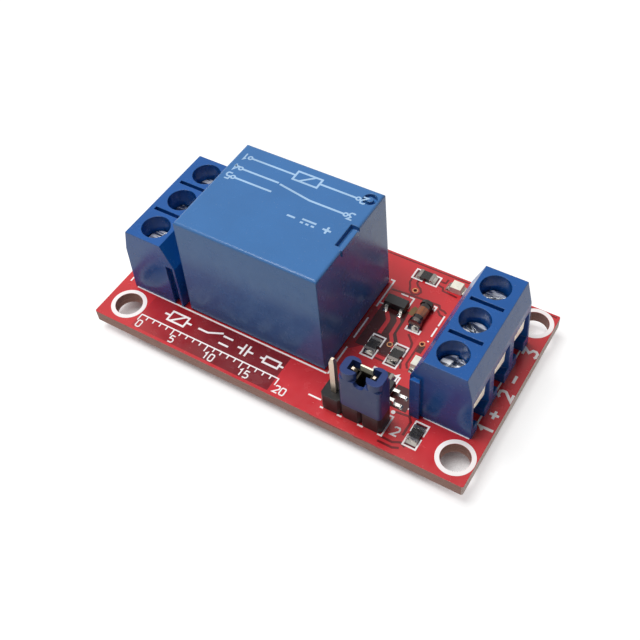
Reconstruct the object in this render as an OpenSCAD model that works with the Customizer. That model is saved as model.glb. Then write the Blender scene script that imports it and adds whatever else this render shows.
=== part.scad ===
// Single-relay module board.  A small circuit board carries a sealed relay, a three-pole
// screw terminal block at each end, a three-pin selector header with its jumper cap and
// the surface-mount parts of the driver circuit.
//
// Millimetres.  The origin is the centre of the four mounting holes, on the underside of
// the board.  +X runs along the board towards the input terminals, +Y across it, +Z up.

/* [Board] */
// Length of the board
board_l = 50; // [48:0.5:54]
// Width of the board
board_w = 26; // [25:0.5:30]
// Thickness of the board
board_t = 1.6; // [1.2:0.2:2.0]
// Distance between mounting holes along the board
hole_span_x = 44.6; // [44:0.1:45]
// Distance between mounting holes across the board
hole_span_y = 20.8; // [20:0.1:21]
// Diameter of a mounting hole
hole_d = 3.4; // [2.8:0.1:3.5]

/* [Relay] */
// Length of the relay cover at its foot
relay_l = 19.1; // [18.8:0.1:19.4]
// Width of the relay cover at its foot
relay_w = 15.3; // [15:0.1:15.6]
// Height of the relay above its standoffs
relay_h = 14.7; // [14.6:0.1:16]
// Angle that the armature drops when the coil pulls it in
armature_angle = 2.2; // [1.8:0.1:2.4]

/* [Screw terminals] */
// Distance between poles
pitch = 5.08; // [5:0.08:5.08]
// Height of a terminal block above the board
term_h = 10.1; // [10:0.1:11]
// Depth of a terminal block, from its back to its wire side
term_d = 7.5; // [7.4:0.1:7.8]
// Diameter of a screw head
head_d = 3.2; // [2.8:0.1:3.3]

/* [Selector header] */
// Distance between header pins
pin_pitch = 2.54; // [2.54:0.01:2.6]
// Height of the pin tips above the board
pin_top = 8.3; // [8:0.1:8.5]
// Height of the jumper cap
cap_h = 6.0; // [5.8:0.1:6.2]

/* [Hidden] */
$fn = 48;
eps = 0.01;

// Board outline against its hole pattern, corner radius and via drill
outline_shift = [-0.4, -0.3];
corner_r = 0.25;
via_d = 0.4;
VIAS = [[7.65, 8.25], [12.2, 1.35], [8.9, -0.5]];

// Leads all stand out this far under the board, each in a cone of solder
lead_out = 1.5;
joint_h = 0.9;
joint_ring = 0.75;
drill_gap = 0.15;

// Terminal blocks: where each back face and the middle pole stand, then the housing's own
// frame, in which u runs from the back face to the wire side and v across the poles
poles = 3;
output_back = -15.9;
input_back = 15.25;
term_y = -0.1;
term_l = poles * pitch - 0.3;
back_lean = 1.45;
back_knee = 6.8;
front_lean = [0.35, 1.05];
front_knee = 7.05;
screw_u = 3.7;
well_d = 3.5;
chamber_u = [1.9, 5.7];
chamber_half = 1.75;
chamber_h = 6.3;
mouth_u = 6.1;
mouth_half = [1.55, 2.1];
mouth_z = [1.5, 5.9];
mouth_foot = 0.9;
slot_u = [1.9, 5.8];
slot_w = 0.48;
slot_depth = 0.9;
dovetail_u = 0.8;
dovetail_root = 0.8;
dovetail_tip = 1.2;
dovetail_rib = 0.5;
dovetail_slot = 0.75;
dovetail_h = 6.8;
dovetail_play = 0.1;

// Clamp of one pole: cage, wire guard and screw
cage_wall = 0.45;
cage_floor = [0.4, 0.9];
cage_roof = [5.2, 6.2];
tongue_u = 7.1;
tongue_half = 1.1;
tongue_z = [5.2, 5.85];
lead_u = 3.5;
term_lead = [0.9, 0.8];
thread_r = 1.25;
thread_play = 0.05;
guard_top = 3.3;
guard_t = 0.4;
guard_u = [2.0, 5.4];
guard_half = 1.2;
guard_teeth = 4;
head_top = 8.0;
head_h = 1.2;
slot_cut = [0.6, 0.6];
OUTPUT_SLOTS = [35, 110, 70];
INPUT_SLOTS = [80, 150, 25];

// Relay frame: origin under the middle of the cover, on top of the board
relay_at = [-5.35, 0.3];
relay_lift = 0.2;
cover_wall = 0.9;
cover_lean = 0.25;
cover_r = 0.3;
base_top = 1.4;
coil_pin = [5.1, 6];
com_pin = [7.1, 0];
contact_pin = [-7.1, 6];
coil_lead = [0.7, 0.7];
blade_lead = [0.9, 0.5];
yoke_t = 1.0;
yoke_half = 4.8;
yoke_x = [-3.2, 6.4];
yoke_foot = base_top;
pole_top = 10.2;
core_r = 1.9;
coil_r = 4.5;
spool_half = [4.7, 5.3];
spool_z = [yoke_foot + yoke_t, 9.5];
flange_t = 0.6;
armature_t = 1.0;
armature_x = [-3.8, 6.4];
armature_half = 4.4;
hinge_z = 10.22;
spring_t = 0.25;
spring_x = [-8.0, 6.2];
spring_half = 2.2;
button_r = 1.1;
button_x = -7.0;
button_h = [0.72, 0.63];
contact_gap = 0.04;

// Header frame: origin under the middle pin, on top of the board
header_at = [10.15, -10.55];
base_w = 2.5;
base_h = 2.54;
pin_w = 0.64;
pin_taper = 0.6;
cap_x = pin_pitch / 2;
cap_z = base_h;
cap_l = 2 * pin_pitch;
cap_w = 2.5;
lobe_h = 1.1;
lobe_gap = 1.2;
lobe_r = 0.85;
channel = [1.4, 1.6];
channel_h = 4.8;
clip_t = 0.2;
clip_plate = 0.75;
clip_bridge = 1.5;

// Surface-mount parts, each at its place on the board
chip = [2.0, 1.25, 0.45];
chip_end = 0.4;
RESISTORS = [[7.93, 10.73, 0], [7.31, -1.64, 90], [10.33, -1.62, 90], [17.36, -10.03, 90], [10.6, -4.95, 0]];
power_led_at = [12.05, 10.7, 0];
status_led_at = [13.2, -1.65, 90];
transistor_at = [6.85, 5.0];
opto_at = [10.5, -6.95];
diode_at = [10.28, 4.7];

function pole_v(i) = (i - (poles - 1) / 2) * pitch;

// Every lead through the board: [x, y, width along x, width along y]
LEADS = concat(
    [for (x = [output_back - lead_u, input_back + lead_u], i = [0 : poles - 1])
        [x, term_y + pole_v(i), term_lead.x, term_lead.y]],
    [for (s = [-1, 1]) [relay_at.x + coil_pin.x, relay_at.y + s * coil_pin.y, coil_lead.x, coil_lead.y]],
    [for (s = [-1, 1]) [relay_at.x + contact_pin.x, relay_at.y + s * contact_pin.y, blade_lead.x, blade_lead.y]],
    [[relay_at.x + com_pin.x, relay_at.y + com_pin.y, blade_lead.y, blade_lead.x]],
    [for (i = [-1 : 1]) [header_at.x + i * pin_pitch, header_at.y, pin_w, pin_w]]
);

// ---- shared shapes ----

// Rectangle with round corners, centred
module round_rect(l, w, r) {
    square([l - 2 * r, w], center = true);
    square([l, w - 2 * r], center = true);
    for (x = [-1, 1], y = [-1, 1])
        translate([x * (l / 2 - r), y * (w / 2 - r)]) circle(r);
}

// Box from its lowest to its highest corner
module span(low, high) {
    translate(low) cube(high - low);
}

// A profile drawn in X and Z, extruded along Y about the middle
module across(length) {
    rotate([90, 0, 0]) translate([0, 0, -length / 2]) linear_extrude(length) children();
}

// The frame on top of the board
module on_board(x = 0, y = 0, turn = 0) {
    translate([x, y, board_t]) rotate([0, 0, turn]) children();
}

// ---- board ----

module pcb() {
    color([0.80, 0.17, 0.19]) difference() {
        translate([outline_shift.x, outline_shift.y, 0])
            linear_extrude(board_t) round_rect(board_l, board_w, corner_r);
        for (x = [-1, 1], y = [-1, 1])
            translate([x * hole_span_x / 2, y * hole_span_y / 2, -1]) cylinder(h = board_t + 2, d = hole_d);
        for (p = LEADS)
            translate([p[0], p[1], -1]) cylinder(h = board_t + 2, d = norm([p[2], p[3]]) + drill_gap, $fn = 24);
        for (p = VIAS)
            translate([p.x, p.y, -1]) cylinder(h = board_t + 2, d = via_d, $fn = 16);
    }
}

module solder_joints() {
    color([0.76, 0.77, 0.78]) for (p = LEADS)
        translate([p[0], p[1], -joint_h]) difference() {
            cylinder(h = joint_h, r1 = norm([p[2], p[3]]) / 2 + 0.1, r2 = norm([p[2], p[3]]) / 2 + joint_ring);
            translate([0, 0, joint_h / 2]) cube([p[2], p[3], joint_h * 2], center = true);
        }
}

// ---- relay ----

module relay_frame() {
    on_board(relay_at.x, relay_at.y) children();
}

// Side view of the cover: a block of this width at its foot, leaning in, round at the top
module cover_side(w, lean) {
    top = w / 2 - lean;
    polygon([
        [-w / 2, 0], [w / 2, 0], [top, relay_h - cover_r], [top - cover_r, relay_h],
        [cover_r - top, relay_h], [-top, relay_h - cover_r]
    ]);
    for (s = [-1, 1]) translate([s * (top - cover_r), relay_h - cover_r]) circle(cover_r);
}

module relay_cover() {
    top = relay_lift + relay_h;
    tab = [-2.3, 1.1];
    groove = [-1.25, -0.65];
    groove_depth = 0.6;
    vent = [relay_l / 2 - 1.35, relay_w / 2 - 1.75];
    corner = (relay_l + relay_w) / sqrt(2) - 0.4;
    color([0.31, 0.50, 0.72]) relay_frame() difference() {
        union() {
            translate([0, 0, relay_lift]) intersection() {
                across(relay_w + 2) cover_side(relay_l, cover_lean);
                rotate([0, 0, 90]) across(relay_l + 2) cover_side(relay_w, cover_lean);
                // Bevels down the four corners
                for (turn = [45, 135])
                    rotate([0, 0, turn]) across(relay_l + relay_w) cover_side(corner, cover_lean * sqrt(2));
            }
            // Square-edged tab beside the vent, on the rounded top edge
            span([relay_l / 2 + groove.x, tab[0], top - 0.9], [relay_l / 2 - 0.1, tab[1], top]);
        }
        span([-relay_l / 2 + cover_wall, -relay_w / 2 + cover_wall, 0],
             [relay_l / 2 - cover_wall, relay_w / 2 - cover_wall, top - cover_wall]);
        // Groove round two sides of the tab
        span([relay_l / 2 + groove[0], tab[0] + 0.4, top - groove_depth],
             [relay_l / 2 + groove[1], tab[1] + 0.5, top + 1]);
        span([relay_l / 2 + groove[0], tab[1], top - groove_depth],
             [relay_l / 2 + 1, tab[1] + 0.5, top + 1]);
        // Vent nib: a ring sunk round a stub
        translate([vent.x, vent.y, top - 0.6]) difference() {
            cylinder(h = 1, r = 0.85);
            cylinder(h = 3, r = 0.42, center = true);
        }
    }
}

module relay_base() {
    inner = [relay_l - 2 * cover_wall, relay_w - 2 * cover_wall];
    foot = 1.0;
    color([0.16, 0.17, 0.20]) relay_frame() difference() {
        union() {
            translate([-inner.x / 2, -inner.y / 2, relay_lift]) cube([inner.x, inner.y, base_top - relay_lift]);
            // Standoffs at the corners
            for (x = [-1, 1], y = [-1, 1])
                translate([x * (inner.x - foot) / 2, y * (inner.y - foot) / 2, base_top / 2])
                    cube([foot, foot, base_top], center = true);
        }
        for (s = [-1, 1]) {
            translate([coil_pin.x, s * coil_pin.y, 0]) cube([coil_lead.x, coil_lead.y, 9], center = true);
            translate([contact_pin.x, s * contact_pin.y, 0]) cube([blade_lead.x, blade_lead.y, 9], center = true);
        }
        translate([com_pin.x, com_pin.y, 0]) cube([blade_lead.y, blade_lead.x, 9], center = true);
    }
}

module relay_bobbin() {
    lug = [3.5, 5.2, base_top];
    color([0.10, 0.10, 0.11]) relay_frame() difference() {
        union() {
            for (z = [spool_z[0], spool_z[1] - flange_t])
                span([-spool_half.x, -spool_half.y, z], [spool_half.x, spool_half.y, z + flange_t]);
            translate([0, 0, spool_z[0]]) cylinder(h = spool_z[1] - spool_z[0], r = core_r + 0.6);
            // Feet that hold the coil pins
            for (s = [0, 1]) mirror([0, s, 0])
                span(lug, [coil_pin.x + 0.6, coil_pin.y + 0.5, spool_z[0] + flange_t]);
        }
        cylinder(h = 30, r = core_r);
        for (s = [-1, 1])
            translate([coil_pin.x, s * coil_pin.y, 0]) cube([coil_lead.x, coil_lead.y, 2 * spool_z[0]], center = true);
    }
}

module relay_coil() {
    wound = spool_z[1] - spool_z[0] - 2 * flange_t;
    color([0.72, 0.42, 0.22]) relay_frame() translate([0, 0, spool_z[0] + flange_t]) difference() {
        cylinder(h = wound, r = coil_r);
        translate([0, 0, -1]) cylinder(h = wound + 2, r = core_r + 0.6);
    }
}

module relay_core() {
    color([0.62, 0.63, 0.65]) relay_frame() {
        translate([0, 0, yoke_foot]) cylinder(h = spool_z[1] - yoke_foot, r = core_r);
        // Pole face
        translate([0, 0, spool_z[1]]) cylinder(h = pole_top - spool_z[1], r = core_r + 1.1);
    }
}

module relay_yoke() {
    color([0.58, 0.59, 0.60]) relay_frame() difference() {
        across(2 * yoke_half) polygon([
            [yoke_x[0], yoke_foot], [yoke_x[1], yoke_foot], [yoke_x[1], pole_top],
            [yoke_x[1] - yoke_t, pole_top], [yoke_x[1] - yoke_t, yoke_foot + yoke_t], [yoke_x[0], yoke_foot + yoke_t]
        ]);
        cylinder(h = 5, r = core_r);
    }
}

// Everything on the armature is drawn pulled in, then swung up about the yoke's edge
module released() {
    relay_frame() translate([armature_x[1], 0, hinge_z]) rotate([0, armature_angle, 0])
        translate([-armature_x[1], 0, -hinge_z]) children();
}

module relay_armature() {
    color([0.60, 0.61, 0.62]) released()
        span([armature_x[0], -armature_half, hinge_z], [armature_x[1], armature_half, hinge_z + armature_t]);
}

module relay_contact_spring() {
    plate = hinge_z + armature_t;
    color([0.80, 0.58, 0.30]) released() {
        span([spring_x[0], -spring_half, plate], [spring_x[1], spring_half, plate + spring_t]);
        translate([button_x, 0, plate - button_h[0]]) cylinder(h = button_h[0], r = button_r);
        translate([button_x, 0, plate + spring_t]) cylinder(h = button_h[1], r = button_r);
        for (y = [-1, 1])
            translate([0, y * spring_half / 2, plate + spring_t]) cylinder(h = 0.3, r = 0.6);
    }
}

// Fixed contact: a blade up the end wall, an arm to the middle and a contact button.
// side is the blade's side of the board, face the height of the contact's face, and up
// says whether the button stands on the arm or hangs under it.
module fixed_contact(side, face, up) {
    arm_t = 0.4;
    button_t = 0.5;
    arm_z = up ? face - button_t - arm_t : face + button_t;
    color([0.78, 0.62, 0.32]) relay_frame() mirror([0, side < 0 ? 1 : 0, 0]) {
        translate([contact_pin.x - blade_lead.x / 2, contact_pin.y - blade_lead.y / 2, -board_t - lead_out])
            cube([blade_lead.x, blade_lead.y, board_t + lead_out + arm_z + arm_t]);
        span([button_x - 1.1, -1.2, arm_z], [button_x + 1.1, contact_pin.y + blade_lead.y / 2, arm_z + arm_t]);
        translate([button_x, 0, up ? face - button_t : face]) cylinder(h = button_t, r = button_r);
    }
}

// The moving contact's underside when pulled in, and its top when released
module relay_no_terminal() {
    fixed_contact(1, hinge_z + armature_t - button_h[0] - contact_gap, true);
}

module relay_nc_terminal() {
    reach = armature_x[1] - button_x;
    rise = (reach + button_r) * sin(armature_angle);
    fixed_contact(-1, hinge_z + armature_t + spring_t + button_h[1] + rise + contact_gap, false);
}

module relay_com_terminal() {
    plate_x = yoke_x[1];
    foot_z = 2.0;
    color([0.78, 0.62, 0.32]) relay_frame() {
        span([plate_x, -2, foot_z], [plate_x + 0.3, 2, pole_top - 0.3]);
        span([plate_x, -blade_lead.x / 2, foot_z - 0.5], [com_pin.x + blade_lead.y / 2, blade_lead.x / 2, foot_z]);
        translate([com_pin.x - blade_lead.y / 2, -blade_lead.x / 2, -board_t - lead_out])
            cube([blade_lead.y, blade_lead.x, board_t + lead_out + foot_z - 0.5]);
    }
}

module relay_coil_pins() {
    color([0.80, 0.80, 0.78]) relay_frame() for (s = [-1, 1])
        translate([coil_pin.x - coil_lead.x / 2, s * coil_pin.y - coil_lead.y / 2, -board_t - lead_out])
            cube([coil_lead.x, coil_lead.y, board_t + lead_out + spool_z[0]]);
}

// ---- screw terminals ----

// The input block faces +X; the output block is the same part turned end for end
module terminal_frame(output) {
    on_board(output ? output_back : input_back, term_y, output ? 180 : 0) children();
}

// Dovetail that joins one block to the next, a rib at one end and a slot at the other
module dovetail(out, play) {
    root = dovetail_root / 2 + play;
    tip = dovetail_tip / 2 + play;
    linear_extrude(dovetail_h) polygon([
        [dovetail_u - root, eps], [dovetail_u + root, eps], [dovetail_u + tip, -out], [dovetail_u - tip, -out]
    ]);
}

module terminal_housing() {
    difference() {
        union() {
            across(term_l) polygon([
                [0, 0], [term_d, 0], [term_d - front_lean[0], front_knee],
                [term_d - front_lean[1], term_h], [back_lean, term_h], [0, back_knee]
            ]);
            translate([0, -term_l / 2, 0]) dovetail(dovetail_rib, 0);
        }
        translate([0, term_l / 2, -eps]) dovetail(dovetail_slot, dovetail_play);
        for (i = [0 : poles - 1]) translate([0, pole_v(i), 0]) {
            // Screw well, clamp chamber, wire opening, its flared mouth and the notch at its foot
            translate([screw_u, 0, chamber_h - eps]) cylinder(h = term_h, d = well_d);
            span([chamber_u[0], -chamber_half, -1], [chamber_u[1], chamber_half, chamber_h]);
            span([chamber_u[1] - eps, -mouth_half[0], mouth_z[0]], [mouth_u + eps, mouth_half[0], mouth_z[1]]);
            translate([0, 0, mouth_z[0]]) linear_extrude(mouth_z[1] - mouth_z[0]) polygon([
                [mouth_u, -mouth_half[0]], [term_d + eps, -mouth_half[1]],
                [term_d + eps, mouth_half[1]], [mouth_u, mouth_half[0]]
            ]);
            span([chamber_u[1] - eps, -mouth_foot, -1], [term_d + 1, mouth_foot, mouth_z[0] + eps]);
        }
        // Narrow slots in the top between the poles
        for (i = [1 : poles - 1])
            span([slot_u[0], pole_v(i) - pitch / 2 - slot_w / 2, term_h - slot_depth],
                 [slot_u[1], pole_v(i) - pitch / 2 + slot_w / 2, term_h + 1]);
    }
}

module output_housing() {
    color([0.13, 0.33, 0.68]) terminal_frame(true) terminal_housing();
}

module input_housing() {
    color([0.13, 0.33, 0.68]) terminal_frame(false) terminal_housing();
}

// Cage that holds the wire, with its threaded roof, front tongue and lead
module cage(output, i) {
    half = chamber_half;
    u = chamber_u;
    color([0.83, 0.80, 0.68]) terminal_frame(output) translate([0, pole_v(i), 0]) difference() {
        union() {
            span([u[0], -half, cage_floor[0]], [u[1], half, cage_roof[1]]);
            span([u[1] - eps, -tongue_half, tongue_z[0]], [tongue_u, tongue_half, tongue_z[1]]);
            translate([lead_u - term_lead.x / 2, -term_lead.y / 2, -board_t - lead_out])
                cube([term_lead.x, term_lead.y, board_t + lead_out + cage_floor[1]]);
        }
        span([u[0] - 1, -half + cage_wall, cage_floor[1]], [u[1] + 1, half - cage_wall, cage_roof[0]]);
        translate([screw_u, 0, cage_floor[1] + 1]) cylinder(h = term_h, r = thread_r + thread_play);
    }
}

// Wire guard: a toothed leaf that the screw presses down on the wire
module guard(output, i) {
    tooth = (guard_u[1] - guard_u[0]) / guard_teeth;
    low = guard_top - guard_t;
    teeth = [for (k = [0 : guard_teeth - 1], p = [0, 1])
        [guard_u[0] + (k + p / 2) * tooth, low - p * tooth / 3]];
    color([0.80, 0.78, 0.70]) terminal_frame(output) translate([0, pole_v(i), 0])
        across(2 * guard_half)
            polygon(concat(teeth, [[guard_u[1], low], [guard_u[1], guard_top], [guard_u[0], guard_top]]));
}

module screw(output, i, turn) {
    chamfer = 0.2;
    color([0.75, 0.76, 0.78]) terminal_frame(output) translate([screw_u, pole_v(i), 0]) difference() {
        rotate_extrude() polygon([
            [0, guard_top], [thread_r - chamfer, guard_top], [thread_r, guard_top + chamfer],
            [thread_r, head_top - head_h], [head_d / 2, head_top - head_h],
            [head_d / 2, head_top - chamfer], [head_d / 2 - chamfer, head_top], [0, head_top]
        ]);
        translate([0, 0, head_top]) rotate([0, 0, turn]) cube([head_d + 1, slot_cut.x, 2 * slot_cut.y], center = true);
    }
}

// ---- selector header ----

module header_frame() {
    on_board(header_at.x, header_at.y) children();
}

module header_base() {
    notch = 0.35;
    half = pin_pitch / 2;
    color([0.09, 0.09, 0.10]) header_frame() difference() {
        for (i = [-1 : 1]) translate([i * pin_pitch, 0]) linear_extrude(base_h) polygon([
            [-half, -base_w / 2 + notch], [-half + notch, -base_w / 2], [half - notch, -base_w / 2],
            [half, -base_w / 2 + notch], [half, base_w / 2 - notch], [half - notch, base_w / 2],
            [-half + notch, base_w / 2], [-half, base_w / 2 - notch]
        ]);
        for (i = [-1 : 1]) translate([i * pin_pitch, 0, 0]) cube([pin_w, pin_w, 3 * base_h], center = true);
    }
}

module header_pins() {
    low = -board_t - lead_out;
    flat = pin_w / 4;
    module side() {
        polygon([
            [-flat, low], [flat, low], [pin_w / 2, low + pin_taper], [pin_w / 2, pin_top - pin_taper],
            [flat, pin_top], [-flat, pin_top], [-pin_w / 2, pin_top - pin_taper], [-pin_w / 2, low + pin_taper]
        ]);
    }
    color([0.86, 0.78, 0.55]) header_frame() for (i = [-1 : 1]) translate([i * pin_pitch, 0, 0]) intersection() {
        across(2) side();
        rotate([0, 0, 90]) across(2) side();
    }
}

module cap_frame() {
    header_frame() translate([cap_x, 0, cap_z]) children();
}

module jumper_cap() {
    shoulder = cap_h - lobe_h;
    lobe_l = (cap_l - lobe_gap) / 2;
    window = [1.75, 0.5];
    color([0.14, 0.19, 0.38]) cap_frame() difference() {
        union() {
            linear_extrude(shoulder) round_rect(cap_l, cap_w, 0.4);
            for (s = [-1, 1]) translate([s * (cap_l - lobe_l) / 2, 0, shoulder - eps])
                linear_extrude(lobe_h + eps) round_rect(lobe_l, cap_w, lobe_r);
        }
        // Room for the two sleeves of the clip and its bridge
        cube([pin_pitch + channel.x, channel.y, 2 * channel_h], center = true);
        // Window in the top from one lobe to the other, and the notch in front of it
        span([-window.x, -window.y, channel_h - eps], [window.x, channel.y / 2, cap_h + 1]);
        translate([0, -cap_w / 2, shoulder]) rotate([90, 0, 0]) cylinder(h = cap_w, d = lobe_gap, center = true);
    }
}

// Spring clip: a sleeve for each pin and a plate at the back, joined by a bridge
module jumper_contact() {
    foot = 0.3;
    back = [channel.y / 2 - clip_t, channel.y / 2];
    color([0.84, 0.80, 0.62]) cap_frame() {
        for (s = [-1, 1]) translate([s * pin_pitch / 2, 0, (foot + channel_h) / 2]) difference() {
            cube([channel.x, channel.y, channel_h - foot], center = true);
            cube([channel.x - 2 * clip_t, channel.y - 2 * clip_t, channel_h], center = true);
        }
        span([-pin_pitch / 2, back[0], channel_h - clip_bridge], [pin_pitch / 2, back[1], channel_h]);
        span([-clip_plate, back[0], channel_h - clip_bridge], [clip_plate, back[1], cap_h - 0.15]);
    }
}

// ---- surface-mount parts ----

module chip_resistor(at) {
    end_out = 0.03;
    color([0.20, 0.20, 0.21]) on_board(at[0], at[1], at[2]) {
        translate([-chip.x / 2 + eps, -chip.y / 2, end_out]) cube([chip.x - 2 * eps, chip.y, chip.z]);
        for (s = [0, 1]) mirror([s, 0, 0])
            translate([chip.x / 2 - chip_end, -chip.y / 2 - end_out, 0])
                cube([chip_end, chip.y + 2 * end_out, chip.z + 2 * end_out]);
    }
}

module led(at) {
    plate = 0.3;
    lens = [1.6, 1.25, 0.6];
    color([0.93, 0.90, 0.78]) on_board(at[0], at[1], at[2]) {
        translate([-chip.x / 2, -chip.y / 2, 0]) cube([chip.x, chip.y, plate]);
        translate([0, 0, plate - eps]) across(lens.y) polygon([
            [-lens.x / 2, 0], [lens.x / 2, 0], [lens.x / 2 - 0.12, lens.z], [-lens.x / 2 + 0.12, lens.z]
        ]);
    }
}

// Gull-wing leg: out along +X from the body, down to the board and along it
module gull_leg(out, foot, rise, w, t) {
    across(w) polygon([
        [0, rise], [out, rise], [out, 0], [out + foot, 0], [out + foot, t], [out + t, t],
        [out + t, rise + t], [0, rise + t]
    ]);
}

module transistor() {
    body = [2.9, 1.3, 0.95];
    leg_x = 0.95;
    color([0.10, 0.10, 0.11]) on_board(transistor_at.x, transistor_at.y) {
        across(body.y) polygon([
            [-body.x / 2, 0.35], [-body.x / 2 + 0.08, 0.08], [body.x / 2 - 0.08, 0.08], [body.x / 2, 0.35],
            [body.x / 2 - 0.1, body.z + 0.08], [-body.x / 2 + 0.1, body.z + 0.08]
        ]);
        for (x = [-leg_x, leg_x])
            translate([x, -body.y / 2, 0]) rotate([0, 0, -90]) gull_leg(0.12, 0.45, 0.35, 0.4, 0.12);
        translate([0, body.y / 2, 0]) rotate([0, 0, 90]) gull_leg(0.12, 0.45, 0.35, 0.4, 0.12);
    }
}

module optocoupler() {
    body = [4.2, 2.6, 1.2];
    leg_y = 0.635;
    lift = 0.1;
    color([0.12, 0.10, 0.09]) on_board(opto_at.x, opto_at.y) {
        across(body.y) polygon([
            [-body.x / 2 + 0.15, lift], [body.x / 2 - 0.15, lift], [body.x / 2, lift + body.z / 2],
            [body.x / 2 - 0.15, lift + body.z], [-body.x / 2 + 0.15, lift + body.z], [-body.x / 2, lift + body.z / 2]
        ]);
        for (side = [0, 180], y = [-leg_y, leg_y])
            rotate([0, 0, side]) translate([body.x / 2 - 0.05, y, 0])
                gull_leg(0.65, 1.05, lift + body.z / 2 - 0.08, 0.4, 0.16);
    }
}

// Glass body between two round end caps, lying along Y
module flyback_diode() {
    cap_r = 0.8;
    glass_r = 0.68;
    cap_l = 0.5;
    length = 3.5;
    color([0.78, 0.42, 0.22]) on_board(diode_at.x, diode_at.y)
        translate([0, length / 2, cap_r]) rotate([90, 0, 0]) {
            cylinder(h = length, r = glass_r);
            cylinder(h = cap_l, r = cap_r);
            translate([0, 0, length - cap_l]) cylinder(h = cap_l, r = cap_r);
        }
}

// ---- the whole module ----

pcb();
solder_joints();
relay_cover();
relay_base();
relay_bobbin();
relay_coil();
relay_core();
relay_yoke();
relay_armature();
relay_contact_spring();
relay_no_terminal();
relay_nc_terminal();
relay_com_terminal();
relay_coil_pins();
output_housing();
input_housing();
for (i = [0 : poles - 1]) {
    cage(true, i);
    guard(true, i);
    screw(true, i, OUTPUT_SLOTS[i]);
    cage(false, i);
    guard(false, i);
    screw(false, i, INPUT_SLOTS[i]);
}
header_base();
header_pins();
jumper_cap();
jumper_contact();
for (i = [0 : len(RESISTORS) - 1])
    chip_resistor(RESISTORS[i]);
led(power_led_at);  // power_led
led(status_led_at);  // status_led
transistor();
optocoupler();
flyback_diode();
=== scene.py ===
"""Looks of the relay module board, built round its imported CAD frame.

Places and lengths are in millimetres in the board's frame until MM turns them into metres.
"""
import math

import bpy
import bmesh
from mathutils import Matrix, Vector


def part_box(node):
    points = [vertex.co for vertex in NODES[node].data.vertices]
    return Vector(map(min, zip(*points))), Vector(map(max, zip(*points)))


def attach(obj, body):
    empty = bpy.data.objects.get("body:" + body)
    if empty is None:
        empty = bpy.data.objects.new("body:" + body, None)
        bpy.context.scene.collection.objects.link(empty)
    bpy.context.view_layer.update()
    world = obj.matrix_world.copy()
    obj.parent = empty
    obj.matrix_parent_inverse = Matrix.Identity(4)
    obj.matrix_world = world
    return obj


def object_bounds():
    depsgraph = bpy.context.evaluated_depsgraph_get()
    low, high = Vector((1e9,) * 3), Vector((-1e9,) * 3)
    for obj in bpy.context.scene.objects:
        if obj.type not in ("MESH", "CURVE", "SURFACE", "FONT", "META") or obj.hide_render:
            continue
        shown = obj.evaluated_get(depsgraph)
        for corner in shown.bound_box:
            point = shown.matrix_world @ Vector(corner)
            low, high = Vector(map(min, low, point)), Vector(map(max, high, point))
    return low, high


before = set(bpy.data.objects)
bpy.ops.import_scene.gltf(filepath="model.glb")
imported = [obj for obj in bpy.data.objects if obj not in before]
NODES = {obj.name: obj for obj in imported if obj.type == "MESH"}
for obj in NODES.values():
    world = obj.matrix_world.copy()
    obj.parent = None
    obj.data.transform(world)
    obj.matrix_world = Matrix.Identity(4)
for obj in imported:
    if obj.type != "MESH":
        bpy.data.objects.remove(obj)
cad_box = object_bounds()
MM = 0.001

BOARD_LOW, BOARD_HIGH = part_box("pcb")
TOP = BOARD_HIGH.z / MM
UNDER = BOARD_LOW.z / MM

# Camera of the photograph: place, then azimuth, elevation and roll in degrees
CAMERA_PLACE = (41.75, -59.31, 89.89)
CAMERA_TURN = (35.85, 50.96, -5.67)
FOCAL_LENGTH, SENSOR_WIDTH = 53.325, 36.0

# Lamp above the board, in metres and watts, and the world's strength as it lights and as it shows
KEY_PLACE, KEY_SIDE, KEY_POWER = (-0.10, -0.015, 0.38), 0.2, 1.45
WORLD_LIT, WORLD_SEEN = 0.12, 1.0

# Floor: grey as it lights and as it shows, and its glow under the board and in the open
FLOOR_SIZE, FLOOR_DROP = 3.0, 0.05
FLOOR_LIT, FLOOR_SEEN = 0.7, 0.48
GLOW_COVERED, GLOW_OPEN = 0.05, 0.64
# Openness at which the ground counts as covered and as open, looking this far
COVERED, OPEN, COVER_REACH = 0.25, 0.45, 8.0

# Layout that more than one piece follows
HOLES = [(x, y) for x in (-22.3, 22.3) for y in (-10.4, 10.4)]
VIAS = [(7.65, 8.25), (12.2, 1.35), (8.9, -0.5)]
CHIPS = [n for n in NODES if n.startswith("resistor_")]
LEDS = [n for n in NODES if n.endswith("_led")]

# Rings round the holes and rims round the vias: radius and width
HOLE_RING, VIA_RIM = (1.98, 0.52), (0.31, 0.12)
# Round a chip resistor: the dark pads' half-length and half-width, and the printed brackets' inner
# end, outer end and half-width
PAD_LONG, PAD_WIDE = 1.5, 0.66
BRACKET_IN, BRACKET_OUT, BRACKET_WIDE = 0.2, 1.65, 0.78

# Widths of the printed lines: outlines and small figures, symbols, fine rules, and the relay's diagram
OUTLINE, SYMBOL, RULE, INK = 0.2, 0.25, 0.16, 0.26


def middle(name):
    """Centre of a CAD node, in millimetres."""
    low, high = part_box(name)
    return (low + high) / 2 / MM


def extent(name):
    """Size of a CAD node, in millimetres."""
    low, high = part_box(name)
    return (high - low) / MM


# ---------------------------------------------------------------- camera, light and floor

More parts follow.
